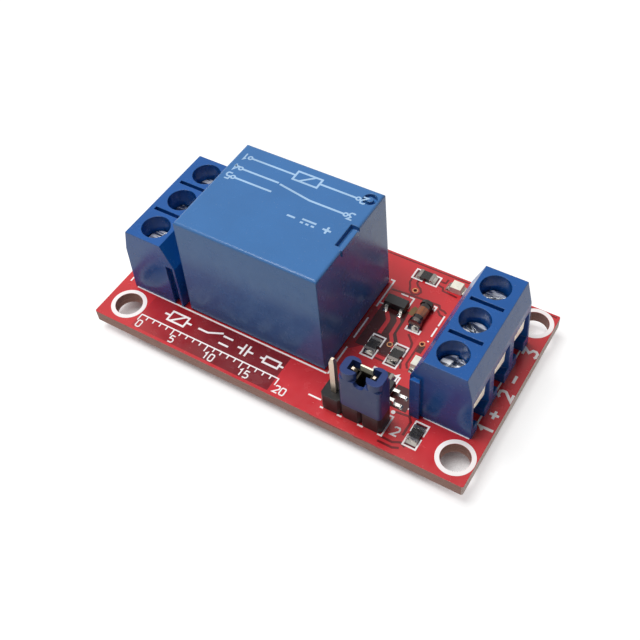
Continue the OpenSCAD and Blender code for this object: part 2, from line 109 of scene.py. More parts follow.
def set_camera():
    """Camera at the photograph's place, from its azimuth, elevation and roll."""
    place = Vector(CAMERA_PLACE) * MM
    azimuth, elevation, roll = (math.radians(turn) for turn in CAMERA_TURN)
    back = Vector((math.sin(azimuth) * math.cos(elevation),
                   -math.cos(azimuth) * math.cos(elevation),
                   math.sin(elevation)))
    right = (-back).cross(Vector((0, 0, 1))).normalized()
    up = right.cross(-back)
    right, up = (math.cos(roll) * right + math.sin(roll) * up,
                 math.cos(roll) * up - math.sin(roll) * right)
    data = bpy.data.cameras.new("camera")
    data.lens = FOCAL_LENGTH
    data.sensor_width = SENSOR_WIDTH
    data.clip_start = 1 * MM
    data.clip_end = 5.0
    camera = bpy.data.objects.new("camera", data)
    bpy.context.scene.collection.objects.link(camera)
    camera.matrix_world = Matrix.Translation(place) @ Matrix(
        ((right.x, up.x, back.x), (right.y, up.y, back.y), (right.z, up.z, back.z))).to_4x4()
    bpy.context.scene.camera = camera


def set_key():
    """Square softbox that faces the board."""
    data = bpy.data.lights.new("key", "AREA")
    data.shape = "RECTANGLE"
    data.size = data.size_y = KEY_SIDE
    data.energy = KEY_POWER
    lamp = bpy.data.objects.new("key", data)
    lamp.location = KEY_PLACE
    lamp.rotation_euler = (-Vector(KEY_PLACE)).to_track_quat("-Z", "Y").to_euler()
    bpy.context.scene.collection.objects.link(lamp)


def seen_or_lit(tree, lit, seen):
    """Shader that the camera, reflections and clear plastics see as one thing and the rest as another."""
    path = tree.nodes.new("ShaderNodeLightPath")
    direct = path.outputs["Is Camera Ray"]
    for kind in ("Is Glossy Ray", "Is Transmission Ray"):
        either = tree.nodes.new("ShaderNodeMath")
        either.operation = "MAXIMUM"
        tree.links.new(direct, either.inputs[0])
        tree.links.new(path.outputs[kind], either.inputs[1])
        direct = either.outputs[0]
    mix = tree.nodes.new("ShaderNodeMixShader")
    tree.links.new(direct, mix.inputs[0])
    tree.links.new(lit, mix.inputs[1])
    tree.links.new(seen, mix.inputs[2])
    return mix.outputs[0]


def set_world():
    """World that is a dim fill to the object and plain white to the eye."""
    world = bpy.data.worlds.new("studio")
    bpy.context.scene.world = world
    world.use_nodes = True
    tree = world.node_tree
    tree.nodes.clear()
    shaders = []
    for strength in (WORLD_LIT, WORLD_SEEN):
        background = tree.nodes.new("ShaderNodeBackground")
        background.inputs["Color"].default_value = (1, 1, 1, 1)
        background.inputs["Strength"].default_value = strength
        shaders.append(background.outputs[0])
    out = tree.nodes.new("ShaderNodeOutputWorld")
    tree.links.new(seen_or_lit(tree, *shaders), out.inputs[0])


def set_floor():
    """White floor that keeps a faint shadow."""
    bpy.ops.mesh.primitive_plane_add(size=FLOOR_SIZE, location=(0, 0, cad_box[0].z - FLOOR_DROP * MM))
    floor = bpy.context.object
    floor.name = "floor"
    material = bpy.data.materials.new("floor")
    material.use_nodes = True
    tree = material.node_tree
    tree.nodes.clear()

    def diffuse(value):
        """Matt grey."""
        node = tree.nodes.new("ShaderNodeBsdfDiffuse")
        node.inputs["Color"].default_value = (value, value, value, 1)
        return node.outputs[0]

    # The glow fades where the board stands close over the ground, so the holes show its shade
    cover = tree.nodes.new("ShaderNodeAmbientOcclusion")
    cover.samples = 8
    cover.inputs["Distance"].default_value = COVER_REACH * MM
    strength = tree.nodes.new("ShaderNodeMapRange")
    tree.links.new(cover.outputs["AO"], strength.inputs["Value"])
    for key, value in (("From Min", COVERED), ("From Max", OPEN),
                       ("To Min", GLOW_COVERED), ("To Max", GLOW_OPEN)):
        strength.inputs[key].default_value = value
    glow = tree.nodes.new("ShaderNodeEmission")
    tree.links.new(strength.outputs[0], glow.inputs["Strength"])
    both = tree.nodes.new("ShaderNodeAddShader")
    tree.links.new(glow.outputs[0], both.inputs[0])
    tree.links.new(diffuse(FLOOR_SEEN), both.inputs[1])
    out = tree.nodes.new("ShaderNodeOutputMaterial")
    tree.links.new(seen_or_lit(tree, diffuse(FLOOR_LIT), both.outputs[0]), out.inputs[0])
    floor.data.materials.append(material)


# ---------------------------------------------------------------- materials

class Maker:
    """A node material with a Principled shader, and short calls for what feeds it."""

    def __init__(self, name, color, rough, metal=0.0, specular=0.5):
        self.mat = bpy.data.materials.new(name)
        self.mat.use_nodes = True
        self.tree = self.mat.node_tree
        self.bsdf = self.tree.nodes["Principled BSDF"]
        self.color = color
        self.bsdf.inputs["Base Color"].default_value = (*color, 1)
        self.bsdf.inputs["Roughness"].default_value = rough
        self.bsdf.inputs["Metallic"].default_value = metal
        self.bsdf.inputs["Specular IOR Level"].default_value = specular
        self.place = self.tree.nodes.new("ShaderNodeTexCoord").outputs["Object"]

    def link(self, source, socket):
        """Feeds an input of the Principled shader."""
        self.tree.links.new(source, self.bsdf.inputs[socket])

    def node(self, kind, inputs=(), **settings):
        """New node with its settings, each input linked from a socket or set to a value."""
        n = self.tree.nodes.new(kind)
        for key, value in settings.items():
            setattr(n, key, value)
        for key, value in dict(inputs).items():
            if isinstance(value, bpy.types.NodeSocket):
                self.tree.links.new(value, n.inputs[key])
            elif isinstance(value, tuple) and len(n.inputs[key].default_value) == 4:
                n.inputs[key].default_value = (*value, 1)
            else:
                n.inputs[key].default_value = value
        return n

    def noise(self, per_mm, detail=4.0, rough=0.55, stretch=None):
        """Noise with about per_mm cells to a millimetre."""
        place = self.place
        if stretch:
            place = self.node("ShaderNodeMapping", {"Vector": place, "Scale": Vector(stretch)}).outputs[0]
        n = self.node("ShaderNodeTexNoise", {
            "Vector": place, "Scale": per_mm / MM, "Detail": detail, "Roughness": rough})
        return n.outputs["Fac"]

    def specks(self, per_mm, size):
        """1 in scattered specks, size being their share of a cell, 0 elsewhere."""
        n = self.node("ShaderNodeTexVoronoi", {"Vector": self.place, "Scale": per_mm / MM})
        near = self.math("LESS_THAN", n.outputs["Distance"], size)
        tint = self.node("ShaderNodeSeparateColor", {0: n.outputs["Color"]})
        return self.math("MULTIPLY", near, self.math("GREATER_THAN", tint.outputs[0], 0.62))

    def math(self, operation, a, b=0.0):
        """Outcome of a sum on sockets or numbers."""
        return self.node("ShaderNodeMath", {0: a, 1: b}, operation=operation).outputs[0]

    def span(self, source, low, high, start=0.0, end=1.0):
        """source's low..high mapped to start..end and held there."""
        n = self.node("ShaderNodeMapRange", {
            "Value": source, "From Min": low, "From Max": high, "To Min": start, "To Max": end})
        return n.outputs[0]

    def mix(self, fac, a, b):
        """Colour a where fac is 0, b where it is 1."""
        return self.node("ShaderNodeMix", {"Factor": fac, 6: a, 7: b}, data_type="RGBA").outputs[2]

    def blend(self, fac, a, b):
        """Number a where fac is 0, b where it is 1."""
        return self.node("ShaderNodeMix", {"Factor": fac, 2: a, 3: b}, data_type="FLOAT").outputs[0]

    def shade(self, cloud, variation, color=None):
        """color, darker and lighter with a cloud."""
        color = color or self.color
        dark = tuple(c * (1 - variation) for c in color)
        light = tuple(min(1.0, c * (1 + variation)) for c in color)
        return self.mix(self.span(cloud, 0.35, 0.65), dark, light)

    def along(self, axis, centre=0.0):
        """Distance in millimetres from centre along an axis."""
        parts = self.node("ShaderNodeSeparateXYZ", {0: self.place})
        return self.math("SUBTRACT", self.math("DIVIDE", parts.outputs[axis], MM), centre)

    def rounded(self, radius):
        """Normal with every edge rounded to a radius in millimetres."""
        return self.node("ShaderNodeBevel", {"Radius": radius * MM}, samples=4).outputs[0]

    def edges(self, radius):
        """1 along sharp edges, 0 on flat faces."""
        true = self.node("ShaderNodeNewGeometry").outputs["True Normal"]
        dot = self.node("ShaderNodeVectorMath", {0: self.rounded(radius), 1: true}, operation="DOT_PRODUCT")
        return self.span(dot.outputs["Value"], 0.98, 0.84)

    def bump(self, *layers, edge=0.0):
        """Stacks (height source, depth in mm) layers into the normal, over edges rounded to edge mm."""
        normal = self.rounded(edge) if edge else None
        for height, depth in layers:
            n = self.node("ShaderNodeBump", {"Height": height, "Strength": 1.0, "Distance": depth * MM})
            if normal:
                self.tree.links.new(normal, n.inputs["Normal"])
            normal = n.outputs[0]
        self.link(normal, "Normal")


def plastic(name, color, rough, variation=0.06, grain=(9.0, 0.003), sink=0.01, edge=0.08,
            scuff=None, dust=0.0, specular=0.5):
    """Moulded plastic: fine grain (per mm, depth), slight sinks, uneven gloss, edges worn to a scuff
    (colour, share), and a little dust."""
    m = Maker(name, color, rough, specular=specular)
    tint = m.shade(m.noise(0.25, 3.0), variation)
    gloss = m.span(m.noise(0.9, 5.0, 0.6), 0.3, 0.7, rough - 0.06, rough + 0.07)
    if scuff:
        worn = m.math("MULTIPLY", m.edges(0.16), m.span(m.noise(2.2, 6.0, 0.7), 0.50, 0.60))
        tint = m.mix(m.math("MULTIPLY", worn, scuff[1]), tint, scuff[0])
    if dust:
        mote = m.math("MULTIPLY", m.specks(1.6, 0.10), dust)
        tint = m.mix(mote, tint, (0.75, 0.73, 0.70))
    m.link(tint, "Base Color")
    m.link(gloss, "Roughness")
    m.bump((m.noise(grain[0], 3.0), grain[1]), (m.noise(0.35, 2.0), sink), edge=edge)
    return m.mat


def metal(name, color, rough, variation=0.12, grain=(5.0, 0.004), edge=0.05):
    """Plated metal: uneven gloss, fine ripple and duller patches."""
    m = Maker(name, color, rough, metal=1.0)
    dull = tuple(c * (1 - variation) for c in color)
    m.link(m.mix(m.span(m.noise(1.3, 5.0, 0.6), 0.42, 0.66), color, dull), "Base Color")
    fine = m.noise(grain[0], 4.0, 0.6)
    m.link(m.span(fine, 0.3, 0.7, rough - 0.07, rough + 0.1), "Roughness")
    m.bump((fine, grain[1]), edge=edge)
    return m.mat


ORANGE_PEEL = 0.0015


def lacquer_gloss(m):
    """Roughness of the board's lacquer, uneven from place to place."""
    return m.span(m.noise(0.7, 4.0), 0.3, 0.7, 0.18, 0.30)


def solder_mask(name, color):
    """Glossy lacquer with a soft orange peel, faint clouds, small pits and a few pale motes."""
    m = Maker(name, color, 0.24)
    tint = m.shade(m.noise(0.18, 2.0), 0.05)
    tint = m.mix(m.math("MULTIPLY", m.specks(0.9, 0.05), 0.5), tint, (0.85, 0.62, 0.58))
    m.link(tint, "Base Color")
    m.link(lacquer_gloss(m), "Roughness")
    m.bump((m.noise(2.2, 2.0), ORANGE_PEEL), (m.specks(1.3, 0.06), -0.004))
    return m, tint


def board_mask():
    """Solder mask on the board's two faces and bare glass-epoxy on its edges and bores."""
    m, tint = solder_mask("solder_mask", MASK_BRIGHT)
    true = m.node("ShaderNodeNewGeometry").outputs["True Normal"]
    upright = m.math("ABSOLUTE", m.node("ShaderNodeSeparateXYZ", {0: true}).outputs[2])
    side = m.math("LESS_THAN", upright, 0.5)
    plies = m.noise(1.5, 4.0, 0.6, (0.35, 0.35, 9.0))
    fibre = m.noise(7.0, 3.0, 0.6, (1.0, 1.0, 2.5))
    core = m.mix(m.span(plies, 0.35, 0.65), (0.30, 0.13, 0.10), (0.48, 0.27, 0.22))
    core = m.mix(m.span(fibre, 0.5, 0.75), core, (0.55, 0.38, 0.32))
    # Mask that ran over the rim, most of it where the board was broken from its panel
    broken = m.span(m.math("ABSOLUTE", m.along(0, 11.0)), 5.0, 7.0, 0.75, 0.12)
    rim = m.math("GREATER_THAN", m.math("ADD", m.along(2, TOP), broken), m.noise(0.9, 4.0, 0.7))
    near = m.math("LESS_THAN", m.along(1), BOARD_LOW.y / MM + 0.2)
    core = m.mix(m.math("MULTIPLY", rim, near), core, (0.50, 0.045, 0.05))
    # The +X edge is paler than the others, which is painted light, and grainier, with a random grit
    painted_light_edge = m.math("GREATER_THAN", m.along(0), BOARD_HIGH.x / MM - 0.2)
    grit = m.span(m.noise(5.0, 4.0, 0.7), 0.35, 0.6)
    core = m.mix(painted_light_edge, core, m.mix(grit, (0.50, 0.34, 0.28), (0.88, 0.74, 0.67)))
    m.link(m.mix(side, tint, core), "Base Color")
    m.link(m.blend(side, lacquer_gloss(m), 0.7), "Roughness")
    weave = m.math("MULTIPLY", m.math("MULTIPLY", plies, fibre), side)
    m.bump((m.noise(2.2, 2.0), ORANGE_PEEL), (weave, 0.05), edge=0.05)
    return m.mat


def bare_mask():
    """Mask over bare laminate: darker, and darker still along the board from its left end towards the relay,
    a painted reflection of the relay's dark side.
    """
    m, tint = solder_mask("mask_bare", MASK_BARE)
    # Painted reflection: left of the middle the mask darkens towards the relay, standing in for the relay's
    # dark side mirrored in the gloss
    fade = m.span(m.along(0), -20.0, -9.0)
    left = m.math("LESS_THAN", m.along(0), 0.0)
    near = m.mix(fade, (0.46, 0.02, 0.026), (0.20, 0.007, 0.011))
    m.link(m.mix(left, tint, near), "Base Color")
    return m.mat


def two_part(name, mask_of, main, ends, edge=0.04):
    """One solid that is two materials: each is (colour, roughness, metallic); mask_of picks the second."""
    m = Maker(name, main[0], main[1])
    mask = mask_of(m)
    cloud = m.noise(1.4, 4.0)
    first, second = m.shade(cloud, 0.10), m.shade(cloud, 0.08, ends[0])
    m.link(m.mix(mask, first, second), "Base Color")
    ripple = m.noise(5.0, 4.0, 0.6)
    rough = m.blend(mask, main[1], ends[1])
    m.link(m.math("ADD", rough, m.span(ripple, 0.3, 0.7, -0.06, 0.08)), "Roughness")
    m.link(m.blend(mask, main[2], ends[2]), "Metallic")
    m.bump((ripple, 0.006), (m.noise(1.5, 2.0), 0.012), edge=edge)
    return m.mat


def beyond(axis, centre, reach):
    """Mask that is 1 more than reach mm from centre along an axis."""
    return lambda m: m.math("GREATER_THAN", m.math("ABSOLUTE", m.along(axis, centre)), reach)


# Parts of a two_part material: colour, roughness, metallic
# The first tin is far darker than tin's own colour, a painted reflection of dark surroundings; the second is
# tin's own colour
TIN_PAINTED_DARK, BRIGHT_TIN = ((0.30, 0.27, 0.25), 0.20, 1.0), ((0.84, 0.82, 0.77), 0.30, 1.0)
GLAZE, LENS = ((0.016, 0.013, 0.013), 0.24, 0.0), ((0.86, 0.83, 0.70), 0.28, 0.0)
BLACK_BODY = ((0.014, 0.014, 0.015), 0.40, 0.0)
# Half-lengths of the bodies between the metal ends
CHIP_HALF, LED_HALF, TRANSISTOR_HALF, OPTO_HALF = 0.62, 0.82, 0.66, 2.08

MASK_BRIGHT = (0.60, 0.025, 0.032)
MASK_BARE = (0.30, 0.010, 0.015)
MASK_GAP = (0.16, 0.005, 0.008)
MASK_DARK = (0.06, 0.007, 0.008)
MASK_TRACE = (0.66, 0.035, 0.042)
MAT = {}


def make_materials():
    """Fills MAT, by the short names in NODE_MATERIALS or by the node's own name."""
    MAT["relay"] = plastic("relay_case", (0.042, 0.164, 0.415), 0.23, 0.03, (10.0, 0.0005), 0.0015, edge=0.25,
                           dust=0.06, specular=0.36)
    MAT["terminal"] = plastic("terminal_blue", (0.006, 0.092, 0.345), 0.24, 0.05, (8.0, 0.0005), 0.003,
                              edge=0.14, scuff=((0.05, 0.15, 0.42), 0.4), dust=0.1, specular=0.35)
    MAT["black"] = plastic("black_plastic", (0.012, 0.012, 0.013), 0.36, 0.2, (8.0, 0.002),
                           scuff=((0.06, 0.06, 0.06), 0.4), dust=0.1, specular=0.3)
    MAT["navy"] = plastic("jumper_navy", (0.020, 0.042, 0.155), 0.32, 0.10, (8.0, 0.002), edge=0.12,
                          scuff=((0.05, 0.10, 0.28), 0.6), dust=0.1, specular=0.25)
    MAT["epoxy"] = plastic("relay_resin", (0.012, 0.014, 0.022), 0.3, 0.2, (2.0, 0.01))
    MAT["copper"] = metal("winding_copper", (0.72, 0.30, 0.12), 0.3)
    MAT["iron"] = metal("soft_iron", (0.50, 0.50, 0.50), 0.35)
    MAT["alloy"] = metal("contact_alloy", (0.80, 0.58, 0.30), 0.28)
    MAT["tin"] = metal("tinned_steel", (0.86, 0.82, 0.70), 0.40)
    MAT["gold"] = metal("gold_flash", (0.66, 0.55, 0.44), 0.38, 0.12)
    MAT["clip"] = clip_metal()
    # Solder darker than its own colour, a painted reflection of dark surroundings
    MAT["solder"] = metal("solder", (0.50, 0.47, 0.43), 0.18, 0.3, (2.0, 0.006))
    MAT["leaf"] = metal("leaf_tin", (0.92, 0.89, 0.76), 0.42, 0.08)
    MAT["mask"] = board_mask()
    MAT["bare"] = bare_mask()
    MAT["gap"] = solder_mask("mask_gap", MASK_GAP)[0].mat
    MAT["dark"] = solder_mask("mask_dark", MASK_DARK)[0].mat
    MAT["trace"] = solder_mask("mask_trace", MASK_TRACE)[0].mat
    MAT["silk"] = plastic("silkscreen", (0.98, 0.91, 0.89), 0.55, 0.04, (12.0, 0.004), 0.0, edge=0.0)
    MAT["rim"] = metal("via_rim", (0.62, 0.30, 0.14), 0.3)
    MAT["ink"] = plastic("relay_ink", (0.36, 0.55, 0.78), 0.5, 0.08, (12.0, 0.003), 0.0, edge=0.0)
    MAT["residue"] = plastic("flux_residue", (0.20, 0.11, 0.03), 0.25, 0.3, (3.0, 0.01), edge=0.0)

    for name in [n for n in NODES if "_screw_" in n]:
        MAT[name] = screw_steel(name)
    for names, main, half in ((CHIPS, GLAZE, CHIP_HALF), (LEDS, LENS, LED_HALF)):
        for name in names:
            size, centre = extent(name), middle(name)
            axis = 0 if size.x > size.y else 1
            MAT[name] = two_part(name, beyond(axis, centre[axis], half), main, TIN_PAINTED_DARK)
    for name, axis, half in (("transistor", 1, TRANSISTOR_HALF), ("optocoupler", 0, OPTO_HALF)):
        MAT[name] = two_part(name, beyond(axis, middle(name)[axis], half), BLACK_BODY, BRIGHT_TIN)
    MAT["flyback_diode"] = diode_glass()


def diode_glass():
    """Amber glass, dark over the joint at its cathode end, between a painted cap and a tin cap whose dark
    colour is a painted reflection of dark surroundings.
    """
    m = Maker("diode_glass", (0.34, 0.085, 0.02), 0.12)
    place = m.along(1, middle("flyback_diode").y)
    cap = m.math("LESS_THAN", place, -1.26)
    band = m.math("GREATER_THAN", place, 0.72)
    core = m.math("LESS_THAN", m.math("ABSOLUTE", m.math("ADD", place, 0.95)), 0.33)
    streak = m.math("MULTIPLY", m.span(m.noise(1.6, 3.0, 0.6, (2.4, 0.5, 1)), 0.45, 0.6), 0.7)
    tint = m.mix(streak, m.color, (0.09, 0.03, 0.02))
    tint = m.mix(m.math("MAXIMUM", band, core), tint, (0.018, 0.010, 0.009))
    # The tin cap's dark colour is a painted reflection of dark surroundings
    m.link(m.mix(cap, tint, (0.16, 0.14, 0.13)), "Base Color")
    m.link(m.blend(cap, 0.12, 0.26), "Roughness")
    m.link(cap, "Metallic")
    m.bump((m.noise(3.0, 3.0), 0.006), edge=0.12)
    return m.mat


def screw_steel(name):
    """Plated screw with the faint rings that turning left on its head, and streaks along its slot that are
    painted highlights and painted reflections.
    """
    m = Maker(name, (0.92, 0.93, 0.94), 0.20, metal=1.0)
    centre = middle(name)
    across = [m.math("POWER", m.along(axis, centre[axis]), 2.0) for axis in (0, 1)]
    radius = m.math("SQRT", m.math("ADD", *across))
    wobble = m.math("ADD", m.math("MULTIPLY", radius, 26.0), m.math("MULTIPLY", m.noise(1.5), 5.0))
    rings = m.math("MULTIPLY", m.math("SINE", wobble), m.span(m.noise(2.2, 4.0), 0.4, 0.6))
    # Painted highlights and reflections: the streaks switch the colour from a dark bluish reflection of the
    # well to a bright glint
    streak = m.span(m.noise(0.9, 2.0, 0.5, (0.5, 2.6, 1.0)), 0.42, 0.56)
    m.link(m.mix(streak, (0.30, 0.33, 0.38), m.shade(m.noise(1.2, 3.0), 0.06)), "Base Color")
    m.link(m.blend(streak, 0.16, 0.34), "Roughness")
    m.bump((rings, 0.0008), (m.noise(0.8, 1.0), 0.012), edge=0.1)
    return m.mat


def clip_metal():
    """The jumper's clip: bright where its plate shows in the window, and painted dark down below it, which is
    painted shade.
    """
    m = Maker("clip_metal", (0.80, 0.78, 0.60), 0.45, metal=0.6)
    # Painted shade: below the plate the clip is painted nearly black where the cap's pocket is in shade
    inside = m.span(m.along(2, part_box("jumper_contact")[1].z / MM), -0.95, -0.80, 1.0, 0.0)
    m.link(m.mix(inside, m.shade(m.noise(2.0), 0.06), (0.025, 0.022, 0.018)), "Base Color")
    m.link(m.span(m.noise(4.0), 0.3, 0.7, 0.38, 0.5), "Roughness")
    m.bump((m.noise(5.0, 3.0), 0.003), edge=0.04)
    return m.mat


# The first entry that is part of a node's name gives its material
NODE_MATERIALS = [
    ("relay_cover", "relay"), ("relay_base", "epoxy"), ("relay_bobbin", "black"),
    ("relay_coil_pins", "solder"), ("relay_coil", "copper"), ("relay_core", "iron"),
    ("relay_yoke", "iron"), ("relay_armature", "iron"), ("relay_", "alloy"), ("_housing", "terminal"),
    ("header_base", "black"), ("header_pins", "gold"), ("jumper_cap", "navy"), ("jumper_contact", "clip"),
    ("solder_joints", "solder"), ("_cage_", "tin"), ("_guard_", "tin"), ("pcb", "mask"),
]


def dress_nodes():
    """One material for each CAD node."""
    for name, obj in NODES.items():
        key = name if name in MAT else next(k for part, k in NODE_MATERIALS if part in name)
        obj.data.materials.clear()
        obj.data.materials.append(MAT[key])


# ---------------------------------------------------------------- artwork and solder

def turned(angle):
    """Unit vector at an angle in degrees."""
    return Vector((math.cos(math.radians(angle)), math.sin(math.radians(angle))))


class Layer:
    """Thin closed solids on a flat face.  Each stands a hair higher than the last one, so that no
    two tops share a plane."""

    SINK = 0.01
    STEP = 0.0002

    def __init__(self, name, material, slot, height, level=TOP, facing=1):
        self.name, self.material, self.slot = name, material, slot
        self.height, self.level, self.facing = height, level, facing
        self.bm = bmesh.new()

    def rings(self, *outlines):
        """One ring of vertices for each outline at the low and at the high level."""
        self.height += self.STEP
        levels = (self.level - self.facing * self.SINK, self.level + self.facing * self.height)
        return [[[self.bm.verts.new((x * MM, y * MM, z * MM)) for x, y in line] for line in outlines]
                for z in levels]

    def plate(self, points):
        """Flat solid inside an outline."""
        (low,), (high,) = self.rings(points)
        self.bm.faces.new(low)
        self.bm.faces.new(high)
        for i in range(len(points)):
            self.bm.faces.new((low[i - 1], low[i], high[i], high[i - 1]))

    def box(self, x0, y0, x1, y1):
        """Flat solid between two opposite corners."""
        self.plate([(x0, y0), (x1, y0), (x1, y1), (x0, y1)])

    def band(self, left, right, closed):
        """Flat solid between two lines with as many points each."""
        (a, b), (c, d) = self.rings(left, right)
        for i in range(0 if closed else 1, len(left)):
            for p, q in ((a, b), (c, d), (a, c), (b, d)):
                self.bm.faces.new((p[i - 1], p[i], q[i], q[i - 1]))
        if not closed:
            for i in (0, -1):
                self.bm.faces.new((a[i], b[i], d[i], c[i]))

    def line(self, points, width=SYMBOL, closed=False):
        """Line through points with mitred corners."""
        points = [Vector(p) for p in points]
        left, right = [], []
        for i, p in enumerate(points):
            before = p - points[i - 1] if closed or i > 0 else None
            after = points[(i + 1) % len(points)] - p if closed or i < len(points) - 1 else None
            steps = [s.normalized() for s in (before, after) if s]
            way = sum(steps, Vector((0, 0))).normalized()
            reach = width / 2 / max(0.4, way.dot(steps[0]))
            left.append(p + Vector((-way.y, way.x)) * reach)
            right.append(p - Vector((-way.y, way.x)) * reach)
        self.band(left, right, closed)

    def around(self, x, y, radius, steps):
        """Points of a circle."""
        return [Vector((x, y)) + turned(360.0 * k / steps) * radius for k in range(steps)]

    def circle(self, x, y, radius, width, steps):
        """Ring whose line runs along a circle."""
        self.line(self.around(x, y, radius, steps), width, closed=True)

    def disc(self, x, y, radius):
        """Flat round solid."""
        self.plate(self.around(x, y, radius, 24))

    def number(self, text, x, y, height, width=RULE, turn=0):
        """Plain figures from a lower left corner at x, y, reading along turn degrees."""
        along = turned(turn)
        up = Vector((-along.y, along.x))
        for k, mark in enumerate(text):
            for points in FIGURES[mark]:
                run = [((px + FIGURE_STEP * k) * height, py * height) for px, py in points]
                self.line([Vector((x, y)) + along * u + up * v for u, v in run], width)

    def finish(self, smooth=False, body="board"):
        """Turns the solids into one piece of the scene that rides a body."""
        bmesh.ops.recalc_face_normals(self.bm, faces=self.bm.faces)
        mesh = bpy.data.meshes.new(self.name)
        for face in self.bm.faces:
            face.smooth = smooth
        self.bm.to_mesh(mesh)
        self.bm.free()
        piece = bpy.data.objects.new(self.name, mesh)
        bpy.context.scene.collection.objects.link(piece)
        mesh.materials.append(MAT[self.material])
        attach(piece, body)


# Strokes of each figure in a box 1 high, and the step from one figure to the next
FIGURE_STEP = 0.85
FIGURES = {
    "0": [[(0.1, 0), (0.5, 0), (0.6, 0.15), (0.6, 0.85), (0.5, 1), (0.1, 1), (0, 0.85), (0, 0.15), (0.1, 0)]],
    "1": [[(0.1, 0.75), (0.35, 1), (0.35, 0)]],
    "2": [[(0, 0.85), (0.15, 1), (0.5, 1), (0.6, 0.85), (0.6, 0.6), (0, 0), (0.6, 0)]],
    "3": [[(0, 1), (0.6, 1), (0.3, 0.6), (0.6, 0.4), (0.6, 0.15), (0.45, 0), (0.1, 0), (0, 0.1)]],
    "4": [[(0.62, 0.3), (0, 0.3), (0.45, 1), (0.45, 0)]],
    "5": [[(0.55, 1), (0.05, 1), (0, 0.55), (0.4, 0.6), (0.6, 0.42), (0.6, 0.15), (0.45, 0), (0, 0)]],
    "+": [[(0, 0.5), (0.7, 0.5)], [(0.35, 0.15), (0.35, 0.85)]],
    "-": [[(0, 0.5), (0.7, 0.5)]],
}


def make_mask_zones():
    """Areas with no copper under the mask, which look darker."""
    bare = Layer("mask_bare", "bare", "board_red", 0.006)
    bare.box(-20.0, -12.9, -0.17, -7.75)
    bare.plate([(4.3, 3.9), (4.9, 3.7), (5.6, 2.9), (6.3, 1.9),
                (6.3, -1.9), (5.4, -2.9), (4.9, -3.3), (4.3, -3.4)])
    bare.finish()
    dark = Layer("mask_dark", "dark", "board_red", 0.008)
    dark.plate([(5.2, 4.9), (5.2, -2.2), (8.7, -2.2), (9.6, 0.2), (8.8, 1.3), (8.75, 3.3), (8.6, 4.9)])
    dark.box(8.1, -2.2, 9.5, -0.9)
    dark.box(12.5, -8.0, 15.0, -5.0)
    dark.box(11.9, 0.0, 12.7, 1.2)
    dark.finish()
    wells = Layer("pad_surrounds", "dark", "board_red", 0.014)
    for name in CHIPS:
        c, size = middle(name), extent(name)
        u, v = (PAD_LONG, PAD_WIDE) if size.x > size.y else (PAD_WIDE, PAD_LONG)
        wells.box(c.x - u, c.y - v, c.x + u, c.y + v)
    wells.finish()


def make_gaps():
    """Lines of bare laminate that part one copper area from the next."""
    gaps = Layer("mask_gaps", "gap", "board_red", 0.010)
    low, high = BOARD_LOW / MM, BOARD_HIGH / MM
    inset = 0.35
    gaps.line([(low.x + inset, high.y - inset), (high.x - inset, high.y - inset)], 0.2)
    for points, width in (
            ([(6.4, 9.95), (6.4, 9.2), (6.75, 8.6), (7.0, 8.0), (7.6, 7.55), (8.2, 7.8), (8.4, 8.3),
              (8.1, 8.75), (7.6, 9.05), (7.3, 9.4), (7.25, 9.95)], 0.26),
            ([(5.0, 7.1), (7.5, 7.35), (9.0, 7.4), (11.3, 7.5), (11.6, 7.0), (12.2, 6.95), (12.6, 6.7)],
             0.28),
            ([(11.4, 6.8), (12.0, 6.2), (12.6, 6.1)], 0.28),
            ([(9.6, 11.0), (10.5, 11.0)], 0.25), ([(9.6, 10.35), (10.5, 10.2)], 0.25),
            ([(10.45, 11.7), (10.4, 11.0)], 0.25), ([(10.4, 10.3), (10.6, 9.75), (12.6, 9.6)], 0.25),
            ([(7.6, -2.35), (10.0, -2.35)], 0.25), ([(7.6, -3.0), (10.0, -3.0)], 0.25),
            ([(10.1, 1.9), (11.1, 0.9), (11.3, 0.2), (11.3, -2.3), (11.6, -3.0)], 0.28),
            ([(11.9, 1.0), (11.9, -2.0), (12.3, -2.6)], 0.28),
            ([(14.0, -8.4), (15.6, -8.2), (16.1, -8.8), (16.1, -10.7)], 0.28),
            ([(14.0, -11.95), (15.5, -12.0), (16.3, -11.6), (17.0, -11.9)], 0.28),
            ([(14.0, -12.6), (15.8, -12.6), (16.5, -12.3)], 0.28)):
        gaps.line(points, width)
    gaps.finish()


def make_traces():
    """Copper under the mask, raised and bright, and the rims of the vias."""
    traces = Layer("traces", "trace", "board_red", 0.020)
    for points, width in (
            ([(6.2, 3.7), (6.9, 2.8), (7.0, 2.4), (7.0, 0.4)], 0.5),
            ([(7.8, 3.6), (8.2, 3.0), (8.3, 0.9), (8.9, 0.0), (8.9, -0.5)], 0.45),
            ([(7.6, -2.65), (10.0, -2.65)], 0.45),
            ([(11.6, 2.0), (11.6, -2.2), (12.2, -3.0)], 0.4)):
        traces.line(points, width)
    traces.finish()
    rings = Layer("via_rings", "rim", "gold_plate", 0.024)
    for x, y in VIAS:
        rings.circle(x, y, *VIA_RIM, 24)
    rings.finish()
    # A trace runs over this via, so the shade in its bore is painted on top as a dark disc
    bore_shade = Layer("via_bore_shade", "dark", "board_red", 0.026)
    bore_shade.disc(*VIAS[-1], 0.25)
    bore_shade.finish()


